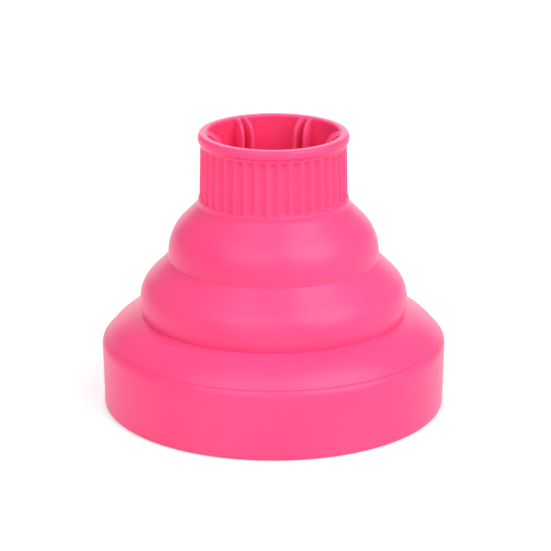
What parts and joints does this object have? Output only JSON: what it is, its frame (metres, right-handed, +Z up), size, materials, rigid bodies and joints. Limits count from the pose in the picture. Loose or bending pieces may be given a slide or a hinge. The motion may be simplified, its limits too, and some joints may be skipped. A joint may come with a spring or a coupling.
{
  "type": "hair dryer diffuser",
  "caption": "Collapsible silicone hair-dryer diffuser: fluted grip collar with inner fins, two rolling folds, and a wide rim that holds a vented plate with soft prongs.",
  "frame": {"origin": "centre of the rim's lower face, where the diffuser stands", "axes": "+Z up the axis of revolution towards the collar; -Y is the front, midway between two pairs of fins"},
  "size_m": [0.1452, 0.1452, 0.1177],
  "materials": {
    "pink_silicone": "matte moulded silicone",
    "pink_plastic": "satin moulded plastic",
    "soft_prong_silicone": "matte moulded silicone"
  },
  "bodies": {
    "bell": {"rim": "pink_silicone", "shoulder": "pink_silicone", "lower_fold_wall": "pink_silicone", "lower_fold_web": "pink_silicone", "diffuser_plate": "pink_plastic", "air_deflector": "pink_plastic", "inner_prong_01": "soft_prong_silicone", "inner_prong_02": "soft_prong_silicone", "inner_prong_03": "soft_prong_silicone", "inner_prong_04": "soft_prong_silicone", "inner_prong_05": "soft_prong_silicone", "inner_prong_06": "soft_prong_silicone", "outer_prong_01": "soft_prong_silicone", "outer_prong_02": "soft_prong_silicone", "outer_prong_03": "soft_prong_silicone", "outer_prong_04": "soft_prong_silicone", "outer_prong_05": "soft_prong_silicone", "outer_prong_06": "soft_prong_silicone", "outer_prong_07": "soft_prong_silicone", "outer_prong_08": "soft_prong_silicone", "outer_prong_09": "soft_prong_silicone", "outer_prong_10": "soft_prong_silicone", "outer_prong_11": "soft_prong_silicone", "outer_prong_12": "soft_prong_silicone"},
    "fold_ring_body": {"fold_ring": "pink_silicone", "upper_fold_web": "pink_silicone"},
    "collar_body": {"collar": "pink_silicone"},
    "grip_fin_01_body": {"grip_fin_01": "pink_silicone"},
    "grip_fin_02_body": {"grip_fin_02": "pink_silicone"},
    "grip_fin_03_body": {"grip_fin_03": "pink_silicone"},
    "grip_fin_04_body": {"grip_fin_04": "pink_silicone"},
    "grip_fin_05_body": {"grip_fin_05": "pink_silicone"},
    "grip_fin_06_body": {"grip_fin_06": "pink_silicone"},
    "grip_fin_07_body": {"grip_fin_07": "pink_silicone"},
    "grip_fin_08_body": {"grip_fin_08": "pink_silicone"},
    "grip_fin_09_body": {"grip_fin_09": "pink_silicone"},
    "grip_fin_10_body": {"grip_fin_10": "pink_silicone"},
    "grip_fin_11_body": {"grip_fin_11": "pink_silicone"},
    "grip_fin_12_body": {"grip_fin_12": "pink_silicone"}
  },
  "joints": [
    {"name": "lower_fold", "type": "slide", "parent": "bell", "child": "fold_ring_body", "axis": [0, 0, -1], "range_m": [0, 0.03], "deforming": ["lower_fold_web"]},
    {"name": "upper_fold", "type": "slide", "parent": "fold_ring_body", "child": "collar_body", "axis": [0, 0, -1], "range_m": [0, 0.03], "deforming": ["upper_fold_web"]},
    {"name": "fin_01_bend", "type": "hinge", "parent": "collar_body", "child": "grip_fin_01_body", "pos_m": [-0.01502, 0.02244, 0.1017], "axis": [0, 0, -1], "range_deg": [0, 60], "stiffness_Nm_per_rad": 0.003},
    {"name": "fin_02_bend", "type": "hinge", "parent": "collar_body", "child": "grip_fin_02_body", "pos_m": [-0.01192, 0.02423, 0.1017], "axis": [0, 0, 1], "range_deg": [0, 60], "stiffness_Nm_per_rad": 0.003},
    {"name": "fin_03_bend", "type": "hinge", "parent": "collar_body", "child": "grip_fin_03_body", "pos_m": [-0.02694, -0.00179, 0.1017], "axis": [0, 0, -1], "range_deg": [0, 60], "stiffness_Nm_per_rad": 0.003},
    {"name": "fin_04_bend", "type": "hinge", "parent": "collar_body", "child": "grip_fin_04_body", "pos_m": [-0.02694, 0.00179, 0.1017], "axis": [0, 0, 1], "range_deg": [0, 60], "stiffness_Nm_per_rad": 0.003},
    {"name": "fin_05_bend", "type": "hinge", "parent": "collar_body", "child": "grip_fin_05_body", "pos_m": [-0.01192, -0.02423, 0.1017], "axis": [0, 0, -1], "range_deg": [0, 60], "stiffness_Nm_per_rad": 0.003},
    {"name": "fin_06_bend", "type": "hinge", "parent": "collar_body", "child": "grip_fin_06_body", "pos_m": [-0.01502, -0.02244, 0.1017], "axis": [0, 0, 1], "range_deg": [0, 60], "stiffness_Nm_per_rad": 0.003},
    {"name": "fin_07_bend", "type": "hinge", "parent": "collar_body", "child": "grip_fin_07_body", "pos_m": [0.01502, -0.02244, 0.1017], "axis": [0, 0, -1], "range_deg": [0, 60], "stiffness_Nm_per_rad": 0.003},
    {"name": "fin_08_bend", "type": "hinge", "parent": "collar_body", "child": "grip_fin_08_body", "pos_m": [0.01192, -0.02423, 0.1017], "axis": [0, 0, 1], "range_deg": [0, 60], "stiffness_Nm_per_rad": 0.003},
    {"name": "fin_09_bend", "type": "hinge", "parent": "collar_body", "child": "grip_fin_09_body", "pos_m": [0.02694, 0.00179, 0.1017], "axis": [0, 0, -1], "range_deg": [0, 60], "stiffness_Nm_per_rad": 0.003},
    {"name": "fin_10_bend", "type": "hinge", "parent": "collar_body", "child": "grip_fin_10_body", "pos_m": [0.02694, -0.00179, 0.1017], "axis": [0, 0, 1], "range_deg": [0, 60], "stiffness_Nm_per_rad": 0.003},
    {"name": "fin_11_bend", "type": "hinge", "parent": "collar_body", "child": "grip_fin_11_body", "pos_m": [0.01192, 0.02423, 0.1017], "axis": [0, 0, -1], "range_deg": [0, 60], "stiffness_Nm_per_rad": 0.003},
    {"name": "fin_12_bend", "type": "hinge", "parent": "collar_body", "child": "grip_fin_12_body", "pos_m": [0.01502, 0.02244, 0.1017], "axis": [0, 0, 1], "range_deg": [0, 60], "stiffness_Nm_per_rad": 0.003}
  ],
  "couplings": [
    {"joint": "fin_02_bend", "follows": "fin_01_bend", "ratio": 1},
    {"joint": "fin_03_bend", "follows": "fin_01_bend", "ratio": 1},
    {"joint": "fin_04_bend", "follows": "fin_01_bend", "ratio": 1},
    {"joint": "fin_05_bend", "follows": "fin_01_bend", "ratio": 1},
    {"joint": "fin_06_bend", "follows": "fin_01_bend", "ratio": 1},
    {"joint": "fin_07_bend", "follows": "fin_01_bend", "ratio": 1},
    {"joint": "fin_08_bend", "follows": "fin_01_bend", "ratio": 1},
    {"joint": "fin_09_bend", "follows": "fin_01_bend", "ratio": 1},
    {"joint": "fin_10_bend", "follows": "fin_01_bend", "ratio": 1},
    {"joint": "fin_11_bend", "follows": "fin_01_bend", "ratio": 1},
    {"joint": "fin_12_bend", "follows": "fin_01_bend", "ratio": 1}
  ]
}
